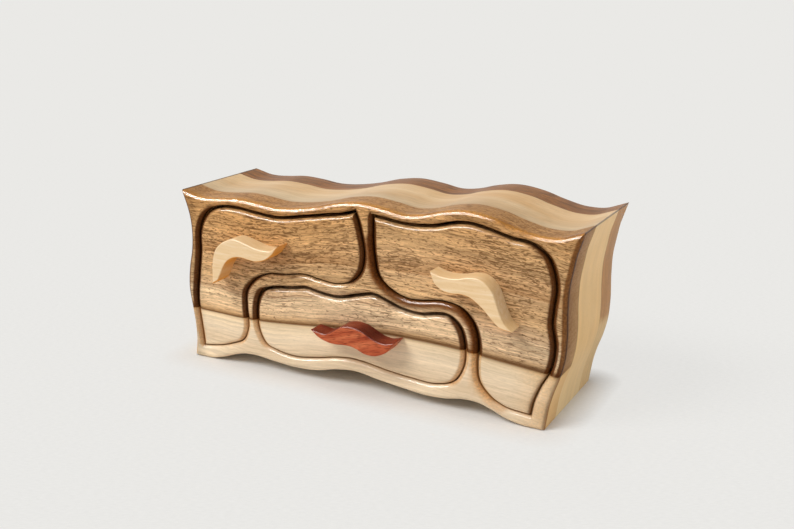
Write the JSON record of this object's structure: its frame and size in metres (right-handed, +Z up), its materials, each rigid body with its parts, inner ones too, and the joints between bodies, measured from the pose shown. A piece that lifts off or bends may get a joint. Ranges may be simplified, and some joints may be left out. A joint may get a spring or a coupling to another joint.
{
  "type": "bandsawn jewellery box",
  "caption": "Wavy laminated wood box sawn from one glued block, with interlocking curved drawers that slide out to the front on shaped wooden handles.",
  "frame": {"origin": "centre of the bounding box at the height of the feet", "axes": "+X along the front to the right, +Y from the drawer fronts to the back, +Z up"},
  "size_m": [0.322, 0.1134, 0.1445],
  "materials": {
    "walnut_front": "gloss lacquer on figured brown walnut with a pale sapwood band along the bottom",
    "pale_middle": "satin lacquer on plain pale wood",
    "walnut_rear": "satin lacquer on grey-brown walnut with a pale sapwood edge at the bottom",
    "pale_handle": "satin lacquer on cream maple",
    "red_handle": "satin lacquer on red-brown padauk",
    "dowel_beech": "bare turned beech dowel"
  },
  "bodies": {
    "carcass": {"carcass_front_board": "walnut_front", "carcass_middle_board": "pale_middle", "carcass_rear_board": "walnut_rear", "back_panel": "walnut_rear"},
    "left_drawer": {"left_drawer_front": "walnut_front", "left_drawer_body_front": "walnut_front", "left_drawer_body_middle": "pale_middle", "left_drawer_body_rear": "walnut_rear", "left_drawer_back": "walnut_rear", "left_handle": "pale_handle", "left_handle_dowels": "dowel_beech"},
    "centre_drawer": {"centre_drawer_front": "walnut_front", "centre_drawer_body_front": "walnut_front", "centre_drawer_body_middle": "pale_middle", "centre_drawer_body_rear": "walnut_rear", "centre_drawer_back": "walnut_rear", "centre_handle": "red_handle", "centre_handle_dowels": "dowel_beech"},
    "right_drawer": {"right_drawer_front": "walnut_front", "right_drawer_body_front": "walnut_front", "right_drawer_body_middle": "pale_middle", "right_drawer_body_rear": "walnut_rear", "right_drawer_back": "walnut_rear", "right_handle": "pale_handle", "right_handle_dowels": "dowel_beech"}
  },
  "joints": [
    {"name": "left_drawer_slide", "type": "slide", "parent": "carcass", "child": "left_drawer", "axis": [0, -1, 0], "range_m": [0, 0.075]},
    {"name": "centre_drawer_slide", "type": "slide", "parent": "carcass", "child": "centre_drawer", "axis": [0, -1, 0], "range_m": [0, 0.075]},
    {"name": "right_drawer_slide", "type": "slide", "parent": "carcass", "child": "right_drawer", "axis": [0, -1, 0], "range_m": [0, 0.075]}
  ]
}
